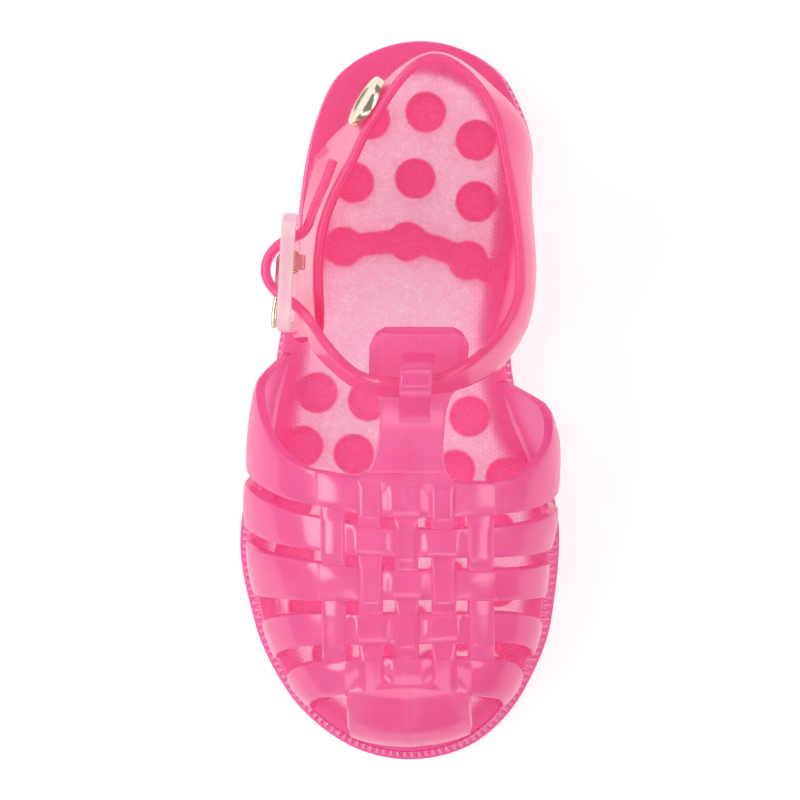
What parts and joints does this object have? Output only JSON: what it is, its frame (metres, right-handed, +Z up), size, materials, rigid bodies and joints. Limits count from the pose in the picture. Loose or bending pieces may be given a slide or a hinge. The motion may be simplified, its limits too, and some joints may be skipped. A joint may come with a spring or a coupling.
{
  "type": "strappy sandal",
  "caption": "Child's moulded jelly sandal with a woven vamp, toe cap, instep bar with belt loop, side panels and an ankle strap with a side buckle.",
  "frame": {"origin": "centre of the overall plan box, on the floor under the sole", "axes": "+Z up, +Y towards the heel, -Y towards the toe, +X towards the inner side of the foot"},
  "size_m": [0.0798, 0.1787, 0.0694],
  "materials": {
    "jelly_pink": "glossy translucent soft vinyl",
    "clear_pink": "glossy clear tinted plastic",
    "pale_gold": "pale gold plating"
  },
  "bodies": {
    "root": {"sole": "jelly_pink", "vamp": "jelly_pink", "quarters": "jelly_pink", "buckle_frame": "clear_pink", "buckle_base": "clear_pink", "buckle_prong": "pale_gold", "stud": "pale_gold"}
  },
  "joints": []
}
